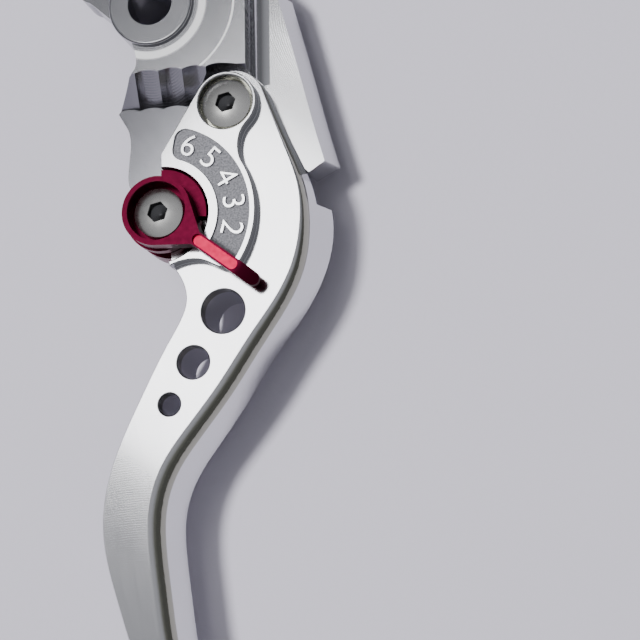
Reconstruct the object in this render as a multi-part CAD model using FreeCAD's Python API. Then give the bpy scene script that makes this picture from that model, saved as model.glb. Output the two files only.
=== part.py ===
import FreeCAD, Part
import math
import os

# Right-hand adjustable brake lever for a handlebar brake, in millimetres.
# The origin is on the axis of the main pivot, at the level of the lever's flat underside.
# +Z is the side with the numbered dial, the tip of the grip points to -Y, +X is the finger side.

V = FreeCAD.Vector

# ---- levels ----
LAYER = 8.0             # underside of the blade's upper plate
TOP = 14.0              # top face of the blade
PLATEAU = 16.5          # top of the dial plateau and of the base block
BASE_PLATE = 7.7        # top of the base's lower plate
BOSS_TOP = 17.7         # top of the main pivot boss
BASE_BOTTOM = -1.0      # underside of the base block

# ---- axes ----
MAIN = V(0, 0, 0)           # main pivot, on the master cylinder bracket
REACH = V(16.4, -23.5, 0)   # blade pivot, which carries the reach adjustment
DIAL = V(2.2, -47.3, 0)     # adjuster axis

# ---- main pivot ----
MAIN_BORE_R = 5.0
MAIN_BOSS_R = 9.4

# ---- screws ----
SCREW_R = 3.0
SCREW_HEAD_R = 5.3
HEAD_HEIGHT = 3.3
HEAD_DOME_R = 14.0
SOCKET_AF = 4.0
SOCKET_DEPTH = 2.0
NUT_AF = 10.0
NUT_HEIGHT = 6.0
NUT_COLLAR_R = 4.1
NUT_FLATS = 4.2             # height of the nut's hexagon under its collar
THREAD_FIT = 0.05

# ---- blade pivot ----
COUNTERBORE_R = 6.0
REACH_HEAD_SEAT = 13.1
REACH_SCREW_LENGTH = 16.0
SLEEVE_R = 4.0
SLEEVE_FIT = 0.03
SHIM_R = 6.2
NUT_POCKET_TOP = 3.4
BASE_RELIEF_R = 8.6         # clearance in the base block round the blade's head

# ---- adjuster ----
RING_R = 7.5
RING_RECESS_R = 6.4
RING_BOTTOM = TOP + 0.3
RING_FLOOR = 15.7
RING_TOP = 20.0
POINTER_ANGLE = -37.7
POINTER_HALF_WIDTH = 1.5
POINTER_LENGTH = 27.0
POINTER_BOTTOM = 16.8
SLOT_START = 11.4
SLOT_END = 20.8
SLOT_HALF_WIDTH = 1.15
SLOT_DEPTH = 0.7
WEB_TOP = 16.2
WEB_INNER_R = 6.3
WEB_OUTER_R = 9.9
WEB_START = -6.0            # angles of the web's two ends
WEB_END = 90.0
CAM_BOTTOM = 2.0
CAM_TOP = LAYER - 0.3
DIAL_SCREW_LENGTH = 20.0
WASHER_R = 5.8
DIAL_POSITIONS = 6
DIAL_STEP = 20.0            # turn of the adjuster between two positions
CAM_CONTACT_ANGLE = 124.0   # where the base's nose meets the cam
CAM_START_R = 9.95
CAM_STEP = 0.57             # growth of the cam from one position to the next
CAM_LAST_R = 13.3

# ---- dial ----
CUTOUT_R = 10.3
BAND_INNER_R = 12.4
BAND_OUTER_R = 19.4
BAND_DEPTH = 0.5
PLATEAU_EDGE_R = 20.6

# ---- blade ----
POCKET_R = 14.4
POCKET_FILLET = 1.4
FRONT_FILLET_HEIGHT = 3.0
BOTTOM_FILLET_HEIGHT = 2.5
BOTTOM_FILLET_PLAN = 2.6
EDGE_BREAK = 0.2             # chamfer on the rims of the holes and along the back of the grip
PLATEAU_BREAK = 0.25
LIGHTENING_HOLES = [(15.0, -68.5, 4.75), (8.5, -79.0, 3.55), (3.3, -87.6, 2.45)]

TONGUE_R = 6.0
BLADE_SEAT = 13.0           # floor of the counterbore, just under the screw head
SHIM_TOP = BASE_PLATE + 0.2
WASHER_TOP = CAM_BOTTOM - 0.05
WASHER_THICK = 1.0

# ---- base ----
STEP_X = 20.9               # wall between the block and the arm
STEP_FILLET = 3.2
STEP_START_Y = -17.5
STEP_END_Y = 4.6
RAMP_TOP_Y = -15.3
RAMP_FOOT_Y = -20.9
FLUTES = 5
FLUTE_PITCH = 5.3
FIRST_FLUTE_X = -6.4
FLUTE_R = 7.3
FLUTE_DEPTH = 0.55
NOSE = V(-5.5, -36.93, 0)      # centre of the round nose that rests on the cam
NOSE_R = 2.4
PUSHER = V(-14.7, 8.5, 0)
PUSHER_R = 4.5
PUSHER_FACE_Y = 11.6
PUSHER_BOTTOM = 2.5
PUSHER_TOP = 11.5

# ---- return spring ----
SPRING_ARM = V(28.2, -34.5, 0)
SPRING_SEAT = V(22.2, -38.7, 0)
SPRING_ACROSS = V(-0.573, 0.819, 0)
SPRING_OD = 7.0
SPRING_WIRE = 1.0
SPRING_COILS = 4
SPRING_SIDES = 12           # the wire's section, close to round
SPRING_GAP = 0.1
SPRING_Z = 3.9

# Front edge of the blade's top face, head to tip: x, y, plan width of the rolled edge,
# and how far the front face stands out below it.
FRONT = [
    (23.9, -20.9, 0.4, 1.0),
    (25.6, -25.7, 0.5, 1.3),
    (28.7, -34.2, 0.8, 2.4),
    (31.3, -42.3, 1.1, 3.9),
    (31.6, -51.1, 1.6, 4.7),
    (29.8, -59.3, 2.1, 4.2),
    (26.2, -66.3, 2.4, 3.8),
    (20.9, -73.6, 2.7, 3.6),
    (13.9, -83.8, 2.8, 3.9),
    (6.8, -92.8, 2.9, 4.4),
    (1.4, -100.6, 3.0, 4.7),
    (-1.2, -109.5, 3.0, 4.7),
    (-1.2, -117.0, 3.0, 4.7),
    (-0.1, -126.5, 3.0, 4.7),
    (1.7, -137.7, 2.9, 4.5),
    (5.6, -150.0, 2.7, 4.0),
    (11.3, -162.0, 2.4, 3.4),
    (16.6, -171.0, 2.0, 2.8),
]

# Back edge of the grip, from the lower end of the adjuster pocket to the tip.
BACK = [
    (4.0, -58.2),
    (6.3, -61.8),
    (7.0, -65.6),
    (5.9, -69.4),
    (3.3, -74.0),
    (-3.1, -86.2),
    (-7.2, -94.9),
    (-10.0, -103.0),
    (-11.1, -110.0),
    (-10.7, -117.0),
    (-8.3, -126.5),
    (-5.1, -136.5),
    (0.2, -150.0),
    (6.2, -162.4),
    (11.6, -172.2),
]


def polar(centre, radius, degrees, z=0.0):
    """Point at a radius and angle round an axis."""
    a = math.radians(degrees)
    return V(centre.x + radius * math.cos(a), centre.y + radius * math.sin(a), z)


def cylinder(centre, radius, z0, z1):
    return Part.makeCylinder(radius, z1 - z0, V(centre.x, centre.y, z0))


def rim_cutter(centre, radius, top, width):
    """Chamfer round the mouth of a round hole."""
    return Part.makeCone(radius, radius + 2 * width, 2 * width, V(centre.x, centre.y, top - width))


def line(a, b):
    return Part.makeLine(a, b)


def arc(centre, radius, start, end, z=0.0):
    """Arc round an axis from one angle to another, either way round."""
    middle = polar(centre, radius, 0.5 * (start + end), z)
    return Part.Arc(polar(centre, radius, start, z), middle, polar(centre, radius, end, z)).toShape()


def curve(points):
    """Smooth curve through points."""
    spline = Part.BSplineCurve()
    spline.interpolate(points)
    return spline.toShape()


def flat(points, z=0.0):
    return [V(x, y, z) for x, y in points]


def extrude(edges, z0, z1):
    """Solid from a closed run of edges drawn at any height, set between two levels."""
    wire = Part.Wire(edges)
    wire.translate(V(0, 0, z0 - wire.BoundBox.ZMin))
    return Part.Face(wire).extrude(V(0, 0, z1 - z0))


def polygon(points, z0, z1):
    ring = flat(points + points[:1])
    return extrude([line(a, b) for a, b in zip(ring, ring[1:])], z0, z1)


def hexagon(centre, across_flats, z0, z1, turn=0.0):
    radius = across_flats / math.sqrt(3)
    corners = [polar(centre, radius, turn + 60 * i) for i in range(6)]
    return polygon([(c.x, c.y) for c in corners], z0, z1)


def front_points(inward, z):
    """Points along the front of the blade, moved inwards from its widest outline."""
    points = []
    for i, (x, y, roll, stand) in enumerate(FRONT):
        before = FRONT[max(i - 1, 0)]
        after = FRONT[min(i + 1, len(FRONT) - 1)]
        along = V(after[0] - before[0], after[1] - before[1], 0).normalize()
        out = V(-along.y, along.x, 0)
        points.append(V(x, y, z) + out * (stand - inward(roll, stand)))
    return points


def blade_section(inward, z):
    """Closed outline of the blade at one level."""
    front = front_points(inward, z)
    back = flat(BACK[::-1], z)
    tip_reach = 3.2 - 0.55 * inward(FRONT[-1][2], FRONT[-1][3])
    tip_middle = 0.5 * (front[-1] + back[0]) + (front[-1] - back[0]).cross(V(0, 0, 1)).normalize() * tip_reach
    head_start = V(10.7, -19.8, z)
    head_middle = V(REACH.x - 0.6, REACH.y + 7.5, z)
    return Part.Wire([
        Part.Arc(head_start, head_middle, front[0]).toShape(),
        curve(front),
        Part.Arc(front[-1], tip_middle, back[0]).toShape(),
        curve(back),
        line(back[-1], polar(DIAL, TONGUE_R, -78, z)),
        arc(DIAL, TONGUE_R, -78, -262, z),
        line(polar(DIAL, TONGUE_R, -262, z), V(2.1, -37.2, z)),
        line(V(2.1, -37.2, z), V(2.1, -34.0, z)),
        line(V(2.1, -34.0, z), head_start),
    ])


def rolled(sections):
    return Part.makeLoft(sections, True, len(sections) == 2)


def blade_body():
    """Blade from the underside to its top face, with a rolled front edge above and below."""
    steps = [90, 60, 30, 0]
    below = []
    for a in steps:
        z = BOTTOM_FILLET_HEIGHT * (1 - math.sin(math.radians(a)))
        share = 1 - math.cos(math.radians(a))
        below.append(blade_section(lambda roll, stand, s=share: s * min(BOTTOM_FILLET_PLAN, 0.6 * stand), z))
    shoulder = TOP - FRONT_FILLET_HEIGHT
    face = [below[-1], blade_section(lambda roll, stand: stand - roll, shoulder)]
    above = []
    for a in reversed(steps):
        z = shoulder + FRONT_FILLET_HEIGHT * math.sin(math.radians(a))
        share = 1 - math.cos(math.radians(a))
        above.append(blade_section(lambda roll, stand, s=share: stand - roll + s * roll, z))
    parts = [rolled(below), rolled(face), rolled(above)]
    return parts[0].fuse(parts[1:]).removeSplitter()


def pocket_cutter():
    """Round pocket under the blade for the cam, with a rounded ceiling corner."""
    pocket = cylinder(DIAL, POCKET_R, -1.0, LAYER)
    ceiling = [e for e in pocket.Edges if abs(e.BoundBox.ZMin - LAYER) < 1e-6 and e.Length > 1.0]
    return pocket.makeFillet(POCKET_FILLET, ceiling[:1])


def notch_cutter():
    """Everything under the blade's head except the hook finger above the adjuster pocket."""
    finger = flat([(3.2, -29.0), (6.6, -30.4), (10.6, -31.9), (15.8, -33.1)])
    seat_start = SPRING_SEAT + SPRING_ACROSS * 3.9
    seat_end = SPRING_SEAT - SPRING_ACROSS * 3.9
    into_seat = [finger[-1], V(18.6, -33.6, 0), seat_start]
    out_of_seat = [seat_end, V(27.6, -44.5, 0), V(33.2, -45.3, 0)]
    edges = [
        line(V(-20, -24, 0), finger[0]),
        curve(finger),
        curve(into_seat),
        line(seat_start, seat_end),
        curve(out_of_seat),
        line(out_of_seat[-1], V(45, -45.3, 0)),
        line(V(45, -45.3, 0), V(45, 5, 0)),
        line(V(45, 5, 0), V(-20, 5, 0)),
        line(V(-20, 5, 0), V(-20, -24, 0)),
    ]
    return extrude(edges, -1.0, LAYER)


def sector(centre, inner, outer, start, end, z0, z1):
    """Part of a ring between two angles."""
    return extrude([
        arc(centre, inner, start, end),
        line(polar(centre, inner, end), polar(centre, outer, end)),
        arc(centre, outer, end, start),
        line(polar(centre, outer, start), polar(centre, inner, start)),
    ], z0, z1)


def dial_plateau():
    """Raised dial plate with its round screw head end, narrow neck and numbered sector."""
    neck_start = polar(REACH, 6.8, -45)
    neck_end = polar(DIAL, PLATEAU_EDGE_R, 31)
    foot_start = polar(DIAL, PLATEAU_EDGE_R, -36)
    foot_end = polar(DIAL, CUTOUT_R, -81)
    left_end = polar(DIAL, CUTOUT_R, 90)
    plate = extrude([
        arc(REACH, 6.8, 147, -45),
        curve([neck_start, V(19.5, -31.2, 0), V(19.2, -33.8, 0), neck_end]),
        arc(DIAL, PLATEAU_EDGE_R, 31, -36),
        curve([foot_start, V(15.0, -59.6, 0), V(11.4, -57.9, 0), V(7.6, -57.6, 0), V(4.1, -58.6, 0)]),
        line(V(4.1, -58.6, 0), foot_end),
        arc(DIAL, CUTOUT_R, -81, 90),
        line(left_end, V(2.1, -34.0, 0)),
        line(V(2.1, -34.0, 0), polar(REACH, 6.8, 147)),
    ], TOP - 1.0, PLATEAU)
    return plate.makeChamfer(PLATEAU_BREAK, level_edges(plate, PLATEAU))


def level_edges(shape, z):
    """Edges that lie at one level."""
    return [e for e in shape.Edges if abs(e.BoundBox.ZMin - z) < 1e-4 and abs(e.BoundBox.ZMax - z) < 1e-4]


def upright_edges(shape, test):
    """Vertical edges of a shape whose place passes a test."""
    return [
        e for e in shape.Edges
        if e.BoundBox.XLength < 0.01 and e.BoundBox.YLength < 0.01 and test(e.BoundBox.Center)
    ]


def dial_band():
    """Shallow recess behind the dial numbers, with a round upper end."""
    band = sector(DIAL, BAND_INNER_R, BAND_OUTER_R, -39, 80, PLATEAU - BAND_DEPTH, PLATEAU + 1.0)
    return band.makeFillet(2.4, upright_edges(band, lambda p: p.y > DIAL.y + 5))


def screw(centre, seat, length):
    """Button head screw with a hexagon socket, its head standing on a seat."""
    top = seat + HEAD_HEIGHT
    dome = Part.makeSphere(HEAD_DOME_R, V(centre.x, centre.y, top - HEAD_DOME_R))
    head = cylinder(centre, SCREW_HEAD_R, seat, top).common(dome)
    end_chamfer = Part.makeCone(SCREW_R - 0.5, SCREW_R, 0.5, V(centre.x, centre.y, seat - length))
    shank = cylinder(centre, SCREW_R, seat - length + 0.5, seat)
    socket = hexagon(centre, SOCKET_AF, top - SOCKET_DEPTH, top + 1, turn=12.0)
    drill_point = Part.makeCone(0.0, SOCKET_AF / 2, 0.7, V(centre.x, centre.y, top - SOCKET_DEPTH - 0.7))
    return head.fuse([shank, end_chamfer]).cut([socket, drill_point]).removeSplitter()


def lock_nut(centre, top, turn):
    """Hexagon lock nut with its collar downwards, and the plastic ring inside the collar."""
    bottom = top - NUT_HEIGHT
    collar_top = top - NUT_FLATS
    bore_r = SCREW_R + THREAD_FIT
    body = hexagon(centre, NUT_AF, collar_top, top, turn)
    corner_r = NUT_AF / math.sqrt(3)
    cone = Part.makeCone(NUT_AF / 2 - 0.2, corner_r + 1.2, 1.2, V(centre.x, centre.y, collar_top))
    over = cylinder(centre, corner_r + 1.2, collar_top + 1.2, top)
    collar = cylinder(centre, NUT_COLLAR_R, bottom, collar_top)
    lip = [e for e in collar.Edges if abs(e.BoundBox.ZMax - bottom) < 1e-6]
    collar = collar.makeFillet(0.5, lip)
    room = cylinder(centre, 3.65, bottom + 0.35, bottom + 1.85)
    mouth = cylinder(centre, 3.3, bottom - 1, bottom + 0.5)
    bore = cylinder(centre, bore_r, bottom - 1, top + 1)
    nut = body.common(cone.fuse(over)).fuse(collar).cut([bore, room, mouth]).removeSplitter()
    insert = room.cut(bore)
    return nut, insert


def cam_outline():
    """Six flats of growing radius for the six dial positions, then a round lobe and a hollow flank."""
    corners = [
        polar(DIAL, CAM_START_R + CAM_STEP * i, CAM_CONTACT_ANGLE + DIAL_STEP * (0.5 - i))
        for i in range(DIAL_POSITIONS)
    ]
    corners.append(polar(DIAL, CAM_LAST_R, 16))
    lobe = [corners[-1], polar(DIAL, 12.5, 8), polar(DIAL, 9.8, -3)]
    flank = [lobe[-1], polar(DIAL, 8.3, -15), polar(DIAL, 7.9, -39), polar(DIAL, 7.4, -80)]
    back = [flank[-1], polar(DIAL, 7.6, -125), polar(DIAL, 8.8, -170), corners[0]]
    edges = [line(p, q) for p, q in zip(corners, corners[1:])]
    return edges + [curve(lobe), curve(flank), curve(back)]


def pointer():
    """Pointer arm of the adjuster: a wedge off the ring, a narrow bar and a drooping round tip."""
    side = math.degrees(math.acos((RING_R - POINTER_HALF_WIDTH) / 10.9))
    along = polar(V(0, 0, 0), 1, POINTER_ANGLE)
    across = V(-along.y, along.x, 0)
    reach = DIAL + along * (POINTER_LENGTH - POINTER_HALF_WIDTH)
    tip = DIAL + along * POINTER_LENGTH
    wedge_left = DIAL + along * 10.9 + across * POINTER_HALF_WIDTH
    wedge_right = DIAL + along * 10.9 - across * POINTER_HALF_WIDTH
    plan = extrude([
        line(polar(DIAL, RING_R, POINTER_ANGLE + side), wedge_left),
        line(wedge_left, reach + across * POINTER_HALF_WIDTH),
        Part.Arc(reach + across * POINTER_HALF_WIDTH, tip, reach - across * POINTER_HALF_WIDTH).toShape(),
        line(reach - across * POINTER_HALF_WIDTH, wedge_right),
        line(wedge_right, polar(DIAL, RING_R, POINTER_ANGLE - side)),
        line(polar(DIAL, RING_R, POINTER_ANGLE - side), polar(DIAL, RING_R, POINTER_ANGLE + side)),
    ], POINTER_BOTTOM, RING_TOP)
    droop_start = 21.6
    profile = [
        (0.0, POINTER_BOTTOM - 1), (POINTER_LENGTH + 1, POINTER_BOTTOM - 1),
        (POINTER_LENGTH + 1, POINTER_BOTTOM + 0.3),
        (POINTER_LENGTH, POINTER_BOTTOM + 1.0), (25.6, 18.7), (23.7, 19.6), (droop_start, RING_TOP),
        (0.0, RING_TOP),
    ]
    points = [DIAL + along * r + V(0, 0, z) for r, z in profile]
    edges = [line(a, b) for a, b in zip(points[:4], points[1:4])]
    edges += [curve(points[3:7]), line(points[6], points[7]), line(points[7], points[0])]
    wall = Part.Face(Part.Wire(edges))
    wall.translate(across * -12)
    return plan.common(wall.extrude(across * 24))


def adjuster_lever():
    """Fork: a ring above the tongue with the pointer, a cam below it, and a web that joins them."""
    ring = cylinder(DIAL, RING_R, RING_BOTTOM, RING_TOP)
    flange = cylinder(DIAL, 7.9, RING_BOTTOM, WEB_TOP)
    web = sector(DIAL, WEB_INNER_R, WEB_OUTER_R, WEB_START, WEB_END, CAM_BOTTOM + 1, WEB_TOP)
    cam = extrude(cam_outline(), CAM_BOTTOM, CAM_TOP)
    body = ring.fuse([flange, web, cam, pointer()])
    recess = cylinder(DIAL, RING_RECESS_R, RING_FLOOR, RING_TOP + 1)
    bore = cylinder(DIAL, SCREW_R + 0.05, CAM_BOTTOM - 1, RING_FLOOR + 1)
    start, end = [polar(DIAL, r, POINTER_ANGLE) for r in (SLOT_START, SLOT_END)]
    across = polar(V(0, 0, 0), SLOT_HALF_WIDTH, POINTER_ANGLE + 90)
    along = polar(V(0, 0, 0), SLOT_HALF_WIDTH, POINTER_ANGLE)
    slot = extrude([
        line(start - across, end - across),
        Part.Arc(end - across, end + along, end + across).toShape(),
        line(end + across, start + across),
        Part.Arc(start + across, start - along, start - across).toShape(),
    ], RING_TOP - SLOT_DEPTH, RING_TOP + 1)
    return body.cut([recess, bore, slot]).removeSplitter()


def lever_blade():
    """Grip, numbered dial plate and tongue in one milled piece."""
    body = blade_body()
    back_edge = [e for e in level_edges(body, TOP) if e.Length > 60 and e.BoundBox.XMin < -8]
    body = body.makeChamfer(EDGE_BREAK, back_edge).fuse(dial_plateau()).removeSplitter()
    web_path = sector(DIAL, TONGUE_R, CUTOUT_R, WEB_START - 2, 100, LAYER - 1, TOP + 0.01)
    cuts = [pocket_cutter(), notch_cutter(), web_path, dial_band()]
    cuts.append(cylinder(DIAL, SCREW_R + 0.05, LAYER - 1, TOP + 1))
    cuts.append(cylinder(REACH, SLEEVE_R + SLEEVE_FIT, LAYER - 1, PLATEAU))
    cuts.append(cylinder(REACH, COUNTERBORE_R, BLADE_SEAT, PLATEAU + 1))
    cuts.append(rim_cutter(REACH, COUNTERBORE_R, PLATEAU, PLATEAU_BREAK))
    for x, y, r in LIGHTENING_HOLES:
        hole = V(x, y, 0)
        cuts.append(cylinder(hole, r, -1, TOP + 1))
        cuts.append(rim_cutter(hole, r, TOP, EDGE_BREAK))
    return body.cut(cuts).removeSplitter()


def base_plate():
    """Lower plate of the base with the round pivot end, the cam nose and the spring arm."""
    stand_out = 1.8

    def outline(z, shift):
        front = V(0.97, 0.25, 0) * shift
        arm = [V(25.7, 3.5, z), V(28.5, -7.2, z), V(30.2, -13.8, z), V(32.4, -22.7, z), V(35.9, -35.7, z)]
        arm = [p + front for p in arm]
        inner = flat([(32.4, -37.9), (28.0, -33.6), (25.5, -30.2), (23.7, -28.5)], z)
        boss_start = polar(REACH, 7.2, -40, z)
        boss_end = polar(REACH, 7.2, -142, z)
        nose_contact = polar(NOSE, NOSE_R, -42, z)
        nose_left = polar(NOSE, NOSE_R, -178, z)
        nose = flat([(1.4, -33.2), (-0.2, -36.1)], z) + [nose_contact]
        side = flat([(-7.9, -33.4), (-7.5, -29.3), (-8.1, -24.9), (-10.3, -21.1)], z)
        waist = flat([(-5.3, -15.5), (-3.6, -13.8), (-3.4, -12.3), (-4.4, -8.3)], z)
        return Part.Wire([
            line(arm[0], arm[1]), curve(arm[1:]), line(arm[-1], inner[0]),
            line(inner[0], inner[1]), curve([inner[1], inner[2], inner[3], boss_start]),
            arc(REACH, 7.2, -40, -142, z),
            curve([boss_end, V(6.0, -27.6, z), V(2.6, -29.4, z), nose[0]]),
            line(nose[0], nose[1]), line(nose[1], nose[2]),
            arc(NOSE, NOSE_R, -42, -178, z),
            curve([nose_left] + side[:3]), line(side[2], side[3]), line(side[3], waist[0]), curve(waist),
            line(waist[3], V(-4.4, 4.0, z)), line(V(-4.4, 4.0, z), V(3.0, 13.0, z)),
            curve([V(3.0, 13.0, z), V(12.0, 12.6, z), V(20.0, 9.6, z), arm[0]]),
        ])

    return Part.makeLoft([outline(0.0, stand_out), outline(BASE_PLATE, 0.0)], True, True)


def base_block():
    """Tall part of the base round the main pivot, with its fluted ramp towards the blade."""
    outline = flat([
        (-4.4, 4.0), (-4.4, -8.3), (-3.4, -12.3), (-3.6, -13.8), (-5.3, -15.5), (-10.3, -21.1),
        (STEP_X, -21.1), (STEP_X, STEP_END_Y), (17.6, 9.8), (12.0, 12.4), (3.0, 13.0),
    ])
    waist = outline[1:5]
    edges = [line(outline[0], outline[1]), curve(waist), line(outline[4], outline[5])]
    edges += [line(a, b) for a, b in zip(outline[5:10], outline[6:10])]
    edges += [line(outline[9], outline[10]), line(outline[10], outline[0])]
    block = extrude(edges, BASE_PLATE - 1, PLATEAU)
    ramp_top = V(0, RAMP_TOP_Y, PLATEAU)
    ramp_foot = V(0, RAMP_FOOT_Y, BASE_PLATE)
    down = (ramp_foot - ramp_top).normalize()
    out = V(0, down.z, -down.y)
    face = Part.Face(Part.makePolygon([
        V(-20, 0, 0) + ramp_top - down * 5, V(40, 0, 0) + ramp_top - down * 5,
        V(40, 0, 0) + ramp_foot + down * 3, V(-20, 0, 0) + ramp_foot + down * 3,
        V(-20, 0, 0) + ramp_top - down * 5,
    ]))
    cuts = [face.extrude(out * 14)]
    lean = V(-1.6, 0, 0) + ramp_foot - ramp_top
    for i in range(FLUTES):
        x = FIRST_FLUTE_X + FLUTE_PITCH * i
        start = V(x, 0, 0) + ramp_top + out * (FLUTE_R - FLUTE_DEPTH) - lean
        cuts.append(Part.makeCylinder(FLUTE_R, lean.Length * 2.6, start, lean))
    return block.cut(cuts)


def step_fillet():
    """Hollow fillet where the block's wall meets the arm."""
    length = STEP_END_Y - STEP_START_Y
    corner = Part.makeBox(STEP_FILLET, length, STEP_FILLET, V(STEP_X, STEP_START_Y, BASE_PLATE))
    axis_start = V(STEP_X + STEP_FILLET, STEP_START_Y - 1, BASE_PLATE + STEP_FILLET)
    return corner.cut(Part.makeCylinder(STEP_FILLET, length + 2, axis_start, V(0, 1, 0)))


def lever_base():
    """Bracket that swings on the main pivot and carries the blade."""
    plate = base_plate()
    block = base_block()
    boss = cylinder(MAIN, MAIN_BOSS_R, BASE_BOTTOM, BOSS_TOP)
    boss = boss.makeFillet(0.5, [e for e in boss.Edges if abs(e.BoundBox.ZMin - BOSS_TOP) < 1e-6][:1])
    under = polygon([(-10.3, -21.1), (-8.1, -24.9), (-7.6, -33.0), (-4.9, -38.4), (10.2, -18.1), (20, -6),
                     (20, 6), (12, 12.0), (3, 12.6), (-4.4, 4.0), (-4.4, -8.3), (-3.6, -13.0)],
                    BASE_BOTTOM, 1.0)
    pusher = cylinder(PUSHER, PUSHER_R, PUSHER_BOTTOM, PUSHER_TOP)
    pusher = pusher.cut(polygon([(-25, PUSHER_FACE_Y), (0, PUSHER_FACE_Y), (0, 30), (-25, 30)], 0, 20))
    pusher_start = (PUSHER.x - 2.0, PUSHER.y - 3.6)
    pusher_end = (PUSHER.x + 1.5, PUSHER_FACE_Y - 0.2)
    web = polygon([(-3.0, -7.5), pusher_start, pusher_end, (2.0, 8.5)], PUSHER_BOTTOM, PUSHER_TOP)
    body = plate.fuse([block, boss, under, pusher, web, step_fillet()])
    cuts = [cylinder(MAIN, MAIN_BORE_R, BASE_BOTTOM - 1, BOSS_TOP + 1)]
    cuts.append(cylinder(REACH, SCREW_R + 0.2, -2, LAYER))
    cuts.append(cylinder(REACH, COUNTERBORE_R, BASE_BOTTOM - 1, NUT_POCKET_TOP))
    cuts.append(cylinder(REACH, BASE_RELIEF_R, BASE_PLATE, PLATEAU + 1))
    return body.cut(cuts).removeSplitter()


def washer(centre, inner, outer, z0, z1):
    return cylinder(centre, outer, z0, z1).cut(cylinder(centre, inner, z0 - 1, z1 + 1))


def return_spring():
    """Compression spring between the base's arm and the notch in the blade."""
    axis = SPRING_ARM - SPRING_SEAT
    length = axis.Length - 2 * SPRING_GAP - SPRING_WIRE
    mean_r = (SPRING_OD - SPRING_WIRE) / 2
    path = Part.makeHelix(length / SPRING_COILS, length, mean_r)
    corner_r = SPRING_WIRE / 2 / math.cos(math.pi / SPRING_SIDES)
    corners = [
        V(mean_r + corner_r * math.cos(a), 0, corner_r * math.sin(a))
        for a in (2 * math.pi * i / SPRING_SIDES for i in range(SPRING_SIDES + 1))
    ]
    coil = Part.Wire(path).makePipeShell([Part.makePolygon(corners)], True, True)
    turn = FreeCAD.Rotation(V(0, 0, 1), axis)
    start = SPRING_SEAT + axis.normalize() * (SPRING_GAP + SPRING_WIRE / 2) + V(0, 0, SPRING_Z)
    coil.Placement = FreeCAD.Placement(start, turn)
    return coil


def main():
    os.makedirs("parts", exist_ok=True)
    reach_nut, reach_insert = lock_nut(REACH, NUT_POCKET_TOP, 8.0)
    dial_nut, dial_insert = lock_nut(DIAL, WASHER_TOP - WASHER_THICK, 20.0)
    parts = {
        "lever_base": lever_base(),
        "lever_blade": lever_blade(),
        "adjuster_lever": adjuster_lever(),
        "adjuster_screw": screw(DIAL, RING_FLOOR + 0.05, DIAL_SCREW_LENGTH),
        "adjuster_washer": washer(DIAL, SCREW_R + 0.1, WASHER_R, WASHER_TOP - WASHER_THICK, WASHER_TOP),
        "adjuster_nut": dial_nut,
        "adjuster_nut_insert": dial_insert,
        "pivot_screw": screw(REACH, REACH_HEAD_SEAT, REACH_SCREW_LENGTH),
        "pivot_nut": reach_nut,
        "pivot_nut_insert": reach_insert,
        "pivot_sleeve": washer(REACH, SCREW_R + 0.05, SLEEVE_R, SHIM_TOP, REACH_HEAD_SEAT),
        "pivot_shim": washer(REACH, SCREW_R + 0.1, SHIM_R, BASE_PLATE, SHIM_TOP),
        "return_spring": return_spring(),
    }
    for name, shape in parts.items():
        print(name, shape.isValid(), len(shape.Solids), round(shape.Volume, 1))
        shape.exportStep(f"parts/{name}.step")


main()
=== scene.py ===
# %% [markdown]
# # A milled brake lever with a red reach adjuster
# The CAD model already holds every part that moves or fits. This notebook dresses it: one careful
# finish for each kind of surface, a coil spring, the dial numbers, a pale table, soft light and a
# camera. A flat colour never looks like metal, so each finish gets its own marks.

# %% Load the frame
import math

import bmesh
import bpy
from mathutils import Matrix, Vector


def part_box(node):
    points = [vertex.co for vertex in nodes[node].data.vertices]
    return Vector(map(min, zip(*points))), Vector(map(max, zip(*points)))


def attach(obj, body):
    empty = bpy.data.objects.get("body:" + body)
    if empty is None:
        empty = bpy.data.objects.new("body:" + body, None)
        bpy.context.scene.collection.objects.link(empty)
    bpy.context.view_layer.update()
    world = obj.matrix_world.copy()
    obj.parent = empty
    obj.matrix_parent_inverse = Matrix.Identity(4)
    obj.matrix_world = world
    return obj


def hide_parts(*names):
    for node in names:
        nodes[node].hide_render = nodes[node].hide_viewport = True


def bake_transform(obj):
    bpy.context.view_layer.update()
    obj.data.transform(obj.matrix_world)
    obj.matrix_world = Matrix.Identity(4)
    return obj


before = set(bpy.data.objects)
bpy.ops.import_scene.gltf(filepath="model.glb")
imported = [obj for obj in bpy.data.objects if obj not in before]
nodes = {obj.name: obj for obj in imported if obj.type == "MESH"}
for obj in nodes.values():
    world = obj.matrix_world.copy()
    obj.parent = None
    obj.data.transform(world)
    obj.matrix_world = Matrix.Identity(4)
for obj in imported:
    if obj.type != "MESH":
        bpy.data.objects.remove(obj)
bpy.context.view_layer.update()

MM = 0.001
print("parts:", ", ".join(sorted(nodes)))

# %% [markdown]
# ## Where things are
# The finishes follow the tools that cut them, so they need the axes of the part. The adjuster and
# the blade pivot come from the washer's and the shim's boxes, and the main pivot is the model's origin.

# %% Axes of the lever
def middle(node):
    low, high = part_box(node)
    return (low + high) / 2


MAIN_PIVOT = Vector((0, 0, 0))
BLADE_PIVOT = middle("pivot_shim")
DIAL_AXIS = middle("adjuster_washer")
DIAL_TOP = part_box("lever_blade")[1].z
FLOOR_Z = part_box("adjuster_nut")[0].z - 0.1 * MM
print("dial axis at", [round(v / MM, 2) for v in DIAL_AXIS])

# %% [markdown]
# ## Small helpers for shader nodes
# Every finish is a handful of nodes: coordinates, a noise or a distance, and a mix. Writing the
# links out each time hides the idea, so each kind of node gets a short function. All of them start
# from Object coordinates, which stay with a part when it moves.

# %% Node helpers
def new_material(name):
    material = bpy.data.materials.new(name)
    material.use_nodes = True
    tree = material.node_tree
    shader = tree.nodes["Principled BSDF"]
    return material, tree, shader


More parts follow.
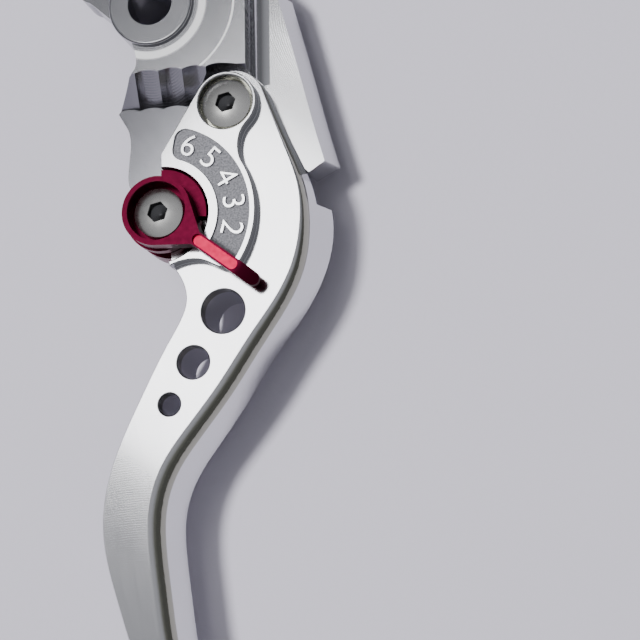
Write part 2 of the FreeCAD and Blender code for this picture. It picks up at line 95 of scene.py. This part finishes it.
def node(tree, kind, **values):
    made = tree.nodes.new(kind)
    for key, value in values.items():
        setattr(made, key, value)
    return made


def object_coords(tree, centre=(0, 0, 0), turn=0.0, stretch=(1, 1, 1)):
    """Object coordinates moved to a centre, turned about Z and stretched."""
    coords = node(tree, "ShaderNodeTexCoord")
    place = node(tree, "ShaderNodeMapping", vector_type="TEXTURE")
    place.inputs["Location"].default_value = centre
    place.inputs["Rotation"].default_value = (0, 0, turn)
    place.inputs["Scale"].default_value = [1 / s for s in stretch]
    tree.links.new(coords.outputs["Object"], place.inputs["Vector"])
    return place.outputs["Vector"]


def noise(tree, vector, scale, detail=3.0):
    made = node(tree, "ShaderNodeTexNoise")
    made.inputs["Scale"].default_value = scale
    made.inputs["Detail"].default_value = detail
    tree.links.new(vector, made.inputs["Vector"])
    return made.outputs["Fac"]


def spread(tree, value, low, high, start=0.0, end=1.0):
    """Value from one range mapped on to another, held at its ends."""
    made = node(tree, "ShaderNodeMapRange")
    for key, number in (("From Min", start), ("From Max", end), ("To Min", low), ("To Max", high)):
        made.inputs[key].default_value = number
    tree.links.new(value, made.inputs["Value"])
    return made.outputs["Result"]


def mix_colour(tree, share, first, second):
    made = node(tree, "ShaderNodeMix", data_type="RGBA")
    for key, colour in ((6, first), (7, second)):
        if isinstance(colour, tuple):
            made.inputs[key].default_value = (*colour, 1)
        else:
            tree.links.new(colour, made.inputs[key])
    tree.links.new(share, made.inputs[0])
    return made.outputs[2]


def add_bump(tree, shader, height, distance, strength=1.0):
    bump = node(tree, "ShaderNodeBump")
    bump.inputs["Distance"].default_value = distance
    bump.inputs["Strength"].default_value = strength
    tree.links.new(height, bump.inputs["Height"])
    tree.links.new(bump.outputs["Normal"], shader.inputs["Normal"])


print("helpers ready")

# %% [markdown]
# ## Table
# The lever lies on pale paper. A real sheet isn't one flat grey: it has a slow change of tone
# and a fine tooth that catches the light, so the floor gets both from two noises.

# %% Paper floor
def paper():
    material, tree, shader = new_material("pale_paper")
    tone = noise(tree, object_coords(tree), 6.0)
    tooth = noise(tree, object_coords(tree), 900.0)
    colour = mix_colour(tree, tone, (0.61, 0.585, 0.67), (0.68, 0.655, 0.745))
    tree.links.new(colour, shader.inputs["Base Color"])
    shader.inputs["Roughness"].default_value = 0.75
    add_bump(tree, shader, tooth, 0.05 * MM)
    return material


bm = bmesh.new()
bmesh.ops.create_grid(bm, x_segments=4, y_segments=4, size=1.5)
bmesh.ops.translate(bm, verts=bm.verts, vec=(0, 0, FLOOR_Z))
floor_mesh = bpy.data.meshes.new("table_paper")
bm.to_mesh(floor_mesh)
bm.free()
floor = bpy.data.objects.new("table_paper", floor_mesh)
bpy.context.collection.objects.link(floor)
floor_mesh.materials.append(paper())
print("floor at", round(FLOOR_Z / MM, 2), "mm")

# %% [markdown]
# ## Milled aluminium
# Three kinds of mark are set on the bare metal: long fine lines along the grip, faint arcs, and a
# slow unevenness. Arcs are cheap as a ring wave round one centre, and lines as a noise that is
# stretched along the grip. The faces aren't all alike either. The dial band is matt, the steep
# walls and the fluted ramp get painted shade, the rolled edge a painted dark reflection, the lower
# plate a painted reflection, lighter on the arm than inside, and the main pivot two painted highlight
# arcs, all set one by one. The arcs stay bright from every side, which real highlights wouldn't.
# Separate materials need separate faces, so each is a mask of heights and radii in one material.

# %% Aluminium finishes
def compute(tree, operation, *values):
    """One sum on numbers or sockets."""
    made = node(tree, "ShaderNodeMath", operation=operation)
    for socket, value in zip(made.inputs, values):
        if isinstance(value, (int, float)):
            socket.default_value = value
        else:
            tree.links.new(value, socket)
    return made.outputs[0]


def split(tree, vector):
    made = node(tree, "ShaderNodeSeparateXYZ")
    tree.links.new(vector, made.inputs[0])
    return made.outputs


def within(tree, value, low, high, soft=0.02 * MM):
    """1 between two limits and 0 outside, with a narrow soft edge."""
    return compute(tree, "MULTIPLY", spread(tree, value, 0, 1, low - soft, low + soft),
                   spread(tree, value, 1, 0, high - soft, high + soft))


def radius_from(tree, centre):
    x, y, z = split(tree, object_coords(tree, centre))
    return compute(tree, "SQRT", compute(tree, "ADD", compute(tree, "MULTIPLY", x, x),
                                         compute(tree, "MULTIPLY", y, y)))


def ring_wave(tree, centre, pitch, distortion=0.6):
    """Fine rings round a centre, one every pitch."""
    wave = node(tree, "ShaderNodeTexWave", wave_type="RINGS", rings_direction="Z")
    wave.inputs["Scale"].default_value = math.pi / 10 / pitch
    wave.inputs["Distortion"].default_value = distortion
    wave.inputs["Detail"].default_value = 2.0
    tree.links.new(object_coords(tree, centre), wave.inputs["Vector"])
    return wave.outputs["Fac"]


def aluminium(name, colour, arcs, arc_pitch, brush_turn, roughness):
    material, tree, shader = new_material(name)
    shader.inputs["Metallic"].default_value = 1.0
    tone = noise(tree, object_coords(tree), 60.0)
    dark = tuple(0.9 * c for c in colour)
    tree.links.new(mix_colour(tree, tone, dark, colour), shader.inputs["Base Color"])
    lines = noise(tree, object_coords(tree, turn=brush_turn, stretch=(1, 0.03, 0.04)), 4000.0, 2.0)
    rings = ring_wave(tree, arcs, arc_pitch)
    both = compute(tree, "ADD", lines, rings)
    tree.links.new(spread(tree, both, roughness - 0.04, roughness + 0.07, 0.5, 1.5),
                   shader.inputs["Roughness"])
    add_bump(tree, shader, both, 0.002 * MM, 0.12)
    return material, tree, shader


def dress(node_name, material):
    """Gives a CAD part one finish."""
    for slot in nodes[node_name].material_slots:
        slot.material = material


# Painted shade, painted reflections and painted highlights laid over the bare aluminium.
ROLL_PAINTED_REFLECTION = (0.33, 0.33, 0.28)
WALL_PAINTED_SHADE = (0.30, 0.30, 0.32)
RAMP_PAINTED_SHADE = (0.24, 0.24, 0.26)
ARC_PAINTED_HIGHLIGHT = (0.93, 0.93, 0.94)
ARM_PLATE_PAINTED_REFLECTION = (0.62, 0.62, 0.64)
INNER_PLATE_PAINTED_REFLECTION = (0.24, 0.24, 0.26)
BAND_DARK = (0.20, 0.20, 0.22)
BAND_LIGHT = (0.36, 0.36, 0.39)
WALL_LEVELS = (14.15 * MM, 16.15 * MM)
ROLL_LEVELS = (11.0 * MM, 13.8 * MM)
RAMP_X = (-20 * MM, 20.7 * MM)
RAMP_Y = (-30 * MM, -14 * MM)
RAMP_Z = (8.0 * MM, 16.3 * MM)
WIDE_ARC = (10.6 * MM, 12.3 * MM)
THIN_ARC = (18.2 * MM, 18.7 * MM)
BLOCK_TOP = (16.3 * MM, 16.7 * MM)
PLATE_LEVELS = (-2 * MM, 10 * MM)
INNER_X = (-40 * MM, 14 * MM)


def tint(tree, shader, mask, colour):
    """Lays a colour over a finish where a mask is 1."""
    bare = shader.inputs["Base Color"].links[0].from_socket
    tree.links.new(mix_colour(tree, mask, bare, colour), shader.inputs["Base Color"])


def darker_edges(tree, shader):
    """Painted shade on the steep walls under the dial plate, and a painted dark reflection on the rolled
    edge.
    """
    height = split(tree, object_coords(tree))[2]
    tint(tree, shader, within(tree, height, *WALL_LEVELS), WALL_PAINTED_SHADE)
    tint(tree, shader, within(tree, height, *ROLL_LEVELS, 0.12 * MM), ROLL_PAINTED_REFLECTION)


def dull_ramp(tree, shader):
    """Painted shade that makes the fluted ramp darker than the faces round it."""
    x, y, z = split(tree, object_coords(tree))
    mask = compute(tree, "MULTIPLY", within(tree, z, *RAMP_Z), within(tree, x, *RAMP_X))
    mask = compute(tree, "MULTIPLY", mask, within(tree, y, *RAMP_Y))
    tint(tree, shader, mask, RAMP_PAINTED_SHADE)


def speckled_band(tree, shader):
    """Matt grey floor of the dial band: a mask where the blade is inside the band's two radii."""
    radius = radius_from(tree, DIAL_AXIS)
    height = split(tree, object_coords(tree))[2]
    mask = compute(tree, "MULTIPLY", within(tree, radius, BAND_INNER_R, BAND_OUTER_R),
                   within(tree, height, BAND_FLOOR - 0.1 * MM, BAND_FLOOR + 0.1 * MM))
    speck = noise(tree, object_coords(tree), 2500.0, 1.0)
    speckled = mix_colour(tree, spread(tree, speck, 0, 1, 0.35, 0.65), BAND_DARK, BAND_LIGHT)
    tint(tree, shader, mask, speckled)
    smooth = shader.inputs["Roughness"].links[0].from_socket
    rough = compute(tree, "MAXIMUM", smooth, compute(tree, "MULTIPLY", mask, 0.62))
    tree.links.new(rough, shader.inputs["Roughness"])
    tree.links.new(spread(tree, mask, 1.0, 0.35), shader.inputs["Metallic"])


def face_mill_arcs(tree, shader):
    """Two painted highlight arcs round the main pivot, and a painted reflection on the lower plate,
    lighter on the arm than on the inner side.
    """
    radius = radius_from(tree, MAIN_PIVOT)
    x, y, z = split(tree, object_coords(tree))
    wide = within(tree, radius, *WIDE_ARC, 0.3 * MM)
    thin = within(tree, radius, *THIN_ARC, 0.08 * MM)
    top = within(tree, z, *BLOCK_TOP)
    mask = compute(tree, "MULTIPLY", compute(tree, "MAXIMUM", wide, thin), top)
    low = within(tree, z, *PLATE_LEVELS, MM)
    inner_side = within(tree, x, *INNER_X, 2 * MM)
    tint(tree, shader, low, mix_colour(tree, inner_side, ARM_PLATE_PAINTED_REFLECTION, INNER_PLATE_PAINTED_REFLECTION))
    tint(tree, shader, mask, ARC_PAINTED_HIGHLIGHT)
    tree.links.new(spread(tree, mask, 1.0, 0.25), shader.inputs["Metallic"])
    smooth = shader.inputs["Roughness"].links[0].from_socket
    tree.links.new(compute(tree, "MAXIMUM", smooth, compute(tree, "MULTIPLY", mask, 0.45)),
                   shader.inputs["Roughness"])


BAND_FLOOR = DIAL_TOP - 0.5 * MM
BAND_INNER_R = 12.4 * MM
BAND_OUTER_R = 19.4 * MM
blade_metal, tree, shader = aluminium(
    "blade_aluminium", (0.72, 0.72, 0.74), DIAL_AXIS, 0.35 * MM, 0.2, 0.12)
darker_edges(tree, shader)
speckled_band(tree, shader)
base_metal, tree, shader = aluminium(
    "base_aluminium", (0.44, 0.44, 0.46), MAIN_PIVOT, 0.4 * MM, 0.6, 0.15)
face_mill_arcs(tree, shader)
dull_ramp(tree, shader)
dress("lever_blade", blade_metal)
dress("lever_base", base_metal)
print("aluminium on blade and base")

# %% [markdown]
# ## Adjuster and small parts
# The adjuster is aluminium, dyed dark red, and its slot looks brighter. The screws are plated
# steel, and their sockets get painted shade so that they look nearly black. A picture can't tell
# the slot's red from reflection or shade, so it is a mask again, and the tones are set one by one.
# The lock nuts hold a ring of nylon, which is not a metal and gets its own material.

# %% Adjuster, steel, brass and nylon
def plain_metal(name, colour, roughness, grain=0.08):
    material, tree, shader = new_material(name)
    shader.inputs["Metallic"].default_value = 1.0
    shader.inputs["Base Color"].default_value = (*colour, 1)
    speck = noise(tree, object_coords(tree), 900.0)
    tree.links.new(spread(tree, speck, roughness - grain, roughness + grain), shader.inputs["Roughness"])
    add_bump(tree, shader, speck, 0.01 * MM, 0.4)
    return material


def bright_slot(material):
    """The slot in the pointer shows a brighter red, so a mask follows its long rounded shape."""
    tree = material.node_tree
    shader = tree.nodes["Principled BSDF"]
    x, y, z = split(tree, object_coords(tree, DIAL_AXIS, turn=POINTER_ANGLE))
    along = within(tree, x, SLOT_START - SLOT_HALF_WIDTH, SLOT_END + SLOT_HALF_WIDTH)
    across = within(tree, y, -SLOT_HALF_WIDTH, SLOT_HALF_WIDTH)
    height = split(tree, object_coords(tree))[2]
    low = within(tree, height, SLOT_FLOOR - 0.15 * MM, SLOT_FLOOR + 0.2 * MM)
    mask = compute(tree, "MULTIPLY", compute(tree, "MULTIPLY", along, across), low)
    colour = mix_colour(tree, mask, ANODISED_RED, SLOT_RED)
    tree.links.new(colour, shader.inputs["Base Color"])


def screw_metal(name, axis, top):
    """Plated screw with painted shade in its socket."""
    material = plain_metal(name, SCREW_GREY, 0.28)
    tree = material.node_tree
    shader = tree.nodes["Principled BSDF"]
    inside = within(tree, radius_from(tree, axis), -MM, SOCKET_R)
    height = split(tree, object_coords(tree))[2]
    deep = within(tree, height, top - 4 * MM, top - 0.5 * MM)
    mask = compute(tree, "MULTIPLY", inside, deep)
    tree.links.new(mix_colour(tree, mask, SCREW_GREY, SOCKET_PAINTED_SHADE), shader.inputs["Base Color"])
    return material


def nylon(name, colour):
    material, tree, shader = new_material(name)
    shader.inputs["Base Color"].default_value = (*colour, 1)
    shader.inputs["Roughness"].default_value = 0.45
    shader.inputs["Subsurface Weight"].default_value = 0.1
    shader.inputs["Subsurface Scale"].default_value = 0.3 * MM
    return material


SCREW_GREY = (0.80, 0.79, 0.76)
# Painted shade in the screw sockets.
SOCKET_PAINTED_SHADE = (0.14, 0.14, 0.145)
SOCKET_R = 2.36 * MM
POINTER_ANGLE = math.radians(-37.7)
SLOT_START = 11.4 * MM
SLOT_END = 20.8 * MM
SLOT_HALF_WIDTH = 1.15 * MM
SLOT_FLOOR = 19.3 * MM
ANODISED_RED = (0.105, 0.005, 0.024)
SLOT_RED = (0.60, 0.016, 0.075)
anodised = plain_metal("red_anodised", ANODISED_RED, 0.34)
bright_slot(anodised)
nut_steel = plain_metal("nut_steel", (0.66, 0.66, 0.66), 0.2)
spring_steel = plain_metal("spring_steel", (0.5, 0.5, 0.5), 0.25)
brass = plain_metal("turned_brass", (0.75, 0.55, 0.25), 0.3)
dress("adjuster_lever", anodised)
for name, axis in (("adjuster_screw", DIAL_AXIS), ("pivot_screw", BLADE_PIVOT)):
    dress(name, screw_metal(f"{name}_steel", axis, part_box(name)[1].z))
for name in ("adjuster_nut", "pivot_nut", "adjuster_washer"):
    dress(name, nut_steel)
for name in ("pivot_sleeve", "pivot_shim"):
    dress(name, brass)
dress("adjuster_nut_insert", nylon("blue_nylon", (0.02, 0.10, 0.45)))
dress("pivot_nut_insert", nylon("grey_nylon", (0.12, 0.12, 0.13)))
print("small parts dressed")

# %% [markdown]
# ## Return spring
# The spring is squeezed between the base's arm and the blade. It is swept ring by ring along a
# helix from one seat to the other, so its wire is round.

# %% Coil spring between two bodies
def coil(name, start, end, mean_r, wire_r, turns, steps=36, sides=14):
    """Closed round wire swept along a helix from one point to another."""
    axis = (end - start).normalized()
    across = axis.orthogonal().normalized()
    up = axis.cross(across)
    rise = (end - start).length / (turns * 2 * math.pi)
    bm = bmesh.new()
    rings = []
    for i in range(turns * steps + 1):
        a = 2 * math.pi * i / steps
        out = across * math.cos(a) + up * math.sin(a)
        centre = start + axis * rise * a + out * mean_r
        along = ((up * math.cos(a) - across * math.sin(a)) * mean_r + axis * rise).normalized()
        side = along.cross(out)
        rings.append([
            bm.verts.new(centre + wire_r * (out * math.cos(b) + side * math.sin(b)))
            for b in (2 * math.pi * k / sides for k in range(sides))
        ])
    for first, second in zip(rings, rings[1:]):
        for k in range(sides):
            n = (k + 1) % sides
            bm.faces.new((first[k], first[n], second[n], second[k]))
    bm.faces.new(rings[0])
    bm.faces.new(list(reversed(rings[-1])))
    bmesh.ops.recalc_face_normals(bm, faces=bm.faces)
    for face in bm.faces:
        face.smooth = len(face.verts) == 4
    mesh = bpy.data.meshes.new(name)
    bm.to_mesh(mesh)
    bm.free()
    piece = bpy.data.objects.new(name, mesh)
    bpy.context.collection.objects.link(piece)
    return piece


SPRING_SEAT = Vector((22.2, -38.7, 3.9)) * MM
SPRING_ARM = Vector((28.2, -34.5, 3.9)) * MM
SPRING_R = 3.0 * MM
WIRE_R = 0.5 * MM
inset = (SPRING_ARM - SPRING_SEAT).normalized() * (WIRE_R + 0.1 * MM)
spring = coil("coil_spring", SPRING_SEAT + inset, SPRING_ARM - inset, SPRING_R, WIRE_R, 4)
spring.data.materials.append(spring_steel)
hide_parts("return_spring")
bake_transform(spring)
print("spring", len(spring.data.polygons), "faces")

# %% [markdown]
# ## Dial numbers
# The numbers stand up from the floor of the dial band. Text is quick to place, but it has to be a
# mesh before it is turned round the dial, so that its place ends up in its vertices. They ride on
# the blade, whose face carries them. They are 20.5 degrees apart and the adjuster's step is 20, so
# the pointer is a few degrees off them.

# %% Dial numbers
DIGIT_R = 15.8 * MM
DIGIT_SIZE = 7.0 * MM
FIRST_DIGIT_ANGLE = -35.0
DIGIT_STEP = 20.5
DIGIT_HALF_HEIGHT = 0.22 * MM


def dial_number(value):
    curve = bpy.data.curves.new(f"dial_number_{value}", "FONT")
    curve.body = str(value)
    curve.size = DIGIT_SIZE
    curve.align_x = "CENTER"
    curve.align_y = "CENTER"
    curve.extrude = DIGIT_HALF_HEIGHT
    curve.bevel_depth = 0.05 * MM
    curve.offset = -0.07 * MM
    curve.resolution_u = 6
    text = bpy.data.objects.new(curve.name, curve)
    mesh = bpy.data.meshes.new_from_object(text)
    angle = math.radians(FIRST_DIGIT_ANGLE + DIGIT_STEP * (value - 1))
    place = (Matrix.Translation((DIAL_AXIS.x, DIAL_AXIS.y, BAND_FLOOR + 0.2 * MM))
             @ Matrix.Rotation(angle, 4, "Z") @ Matrix.Translation((DIGIT_R, 0, 0))
             @ Matrix.Rotation(math.radians(-90), 4, "Z"))
    mesh.transform(place)
    bpy.data.objects.remove(text)
    piece = bpy.data.objects.new(f"dial_number_{value}", mesh)
    bpy.context.collection.objects.link(piece)
    mesh.materials.clear()
    mesh.materials.append(number_metal)
    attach(piece, "blade")
    return piece


number_metal = plain_metal("bright_number", (0.9, 0.9, 0.92), 0.2)
numbers = [dial_number(value) for value in range(1, 7)]
print(len(numbers), "dial numbers")

# %% [markdown]
# ## Light
# Metal shows what it reflects, so its light and its shadows are set apart. A sun from the upper
# left lights the paper and throws the shadows, but isn't seen in reflections, because its glare
# would whiten every flat face. What the metal sees is a sky that is dim low down and brighter
# overhead, and two panels. The large panel is placed so that its reflection whitens the blade and
# ends across the grip. The narrow one was meant to add a band to the base's arm, but none shows.

# %% Studio light
def add_light(name, kind, energy):
    light = bpy.data.lights.new(name, kind)
    light.energy = energy
    made = bpy.data.objects.new(name, light)
    bpy.context.collection.objects.link(made)
    return made


def overhead_panel(name, place, width, height, power):
    """Flat panel that faces straight down."""
    made = add_light(name, "AREA", power)
    made.data.shape = "RECTANGLE"
    made.data.size = width
    made.data.size_y = height
    made.location = place
    made.rotation_euler = (0, 0, PANEL_TURN)


def key_sun(azimuth, elevation, strength, angle):
    """Sun that lights and shades, with a soft edge to its shadows, and has no glare on metal."""
    made = add_light("key_sun", "SUN", strength)
    made.data.angle = angle
    made.visible_glossy = False
    towards = Vector((
        math.cos(elevation) * math.cos(azimuth),
        math.cos(elevation) * math.sin(azimuth),
        math.sin(elevation),
    ))
    made.rotation_euler = towards.to_track_quat("Z", "Y").to_euler()


def sky(colour, low, high, start, end):
    """Sky that grows brighter from one height above the horizon to another, as sines."""
    world = bpy.data.worlds.new("pale_sky")
    world.use_nodes = True
    tree = world.node_tree
    background = tree.nodes["Background"]
    background.inputs["Color"].default_value = (*colour, 1)
    lift = split(tree, tree.nodes.new("ShaderNodeTexCoord").outputs["Generated"])[2]
    tree.links.new(spread(tree, lift, low, high, start, end), background.inputs["Strength"])
    bpy.context.scene.world = world


PANEL_TURN = math.radians(-38.1)
overhead_panel("overhead_panel", (-0.149, 0.0785, 0.614), 0.170, 0.195, 0.60)
overhead_panel("narrow_panel", (-0.1095, 0.2183, 0.614), 0.060, 0.020, 0.022)
key_sun(math.radians(168), math.radians(65), 3.9, math.radians(9))
sky((0.86, 0.87, 0.92), 0.20, 0.46, 0.60, 0.93)
print("light set")

# %% [markdown]
# ## Camera
# The camera looks down on the dial side, leaning towards the finger side and the tip, so that the
# rolled front edge shows. A long lens keeps the grip from growing towards the camera.

# %% Camera
CAMERA_TARGET = Vector((34.8, -70.9, 10.0)) * MM
CAMERA_DISTANCE = 400 * MM
CAMERA_AZIMUTH = math.radians(-45.0)
CAMERA_ELEVATION = math.radians(72.0)
CAMERA_ROLL = math.radians(-1.0)
away = Vector((
    math.cos(CAMERA_ELEVATION) * math.cos(CAMERA_AZIMUTH),
    math.cos(CAMERA_ELEVATION) * math.sin(CAMERA_AZIMUTH),
    math.sin(CAMERA_ELEVATION),
))
right = Vector((0, 1, 0)).cross(away).normalized()
up = away.cross(right)
turned_right = right * math.cos(CAMERA_ROLL) + up * math.sin(CAMERA_ROLL)
turned_up = up * math.cos(CAMERA_ROLL) - right * math.sin(CAMERA_ROLL)
lens = bpy.data.cameras.new("table_camera")
lens.lens = 108.2
lens.clip_start = 0.01
camera = bpy.data.objects.new("table_camera", lens)
bpy.context.collection.objects.link(camera)
turn = Matrix((turned_right, turned_up, away)).transposed()
camera.matrix_world = Matrix.Translation(CAMERA_TARGET + away * CAMERA_DISTANCE) @ turn.to_4x4()
bpy.context.scene.camera = camera
print("camera", [round(v, 3) for v in camera.location])
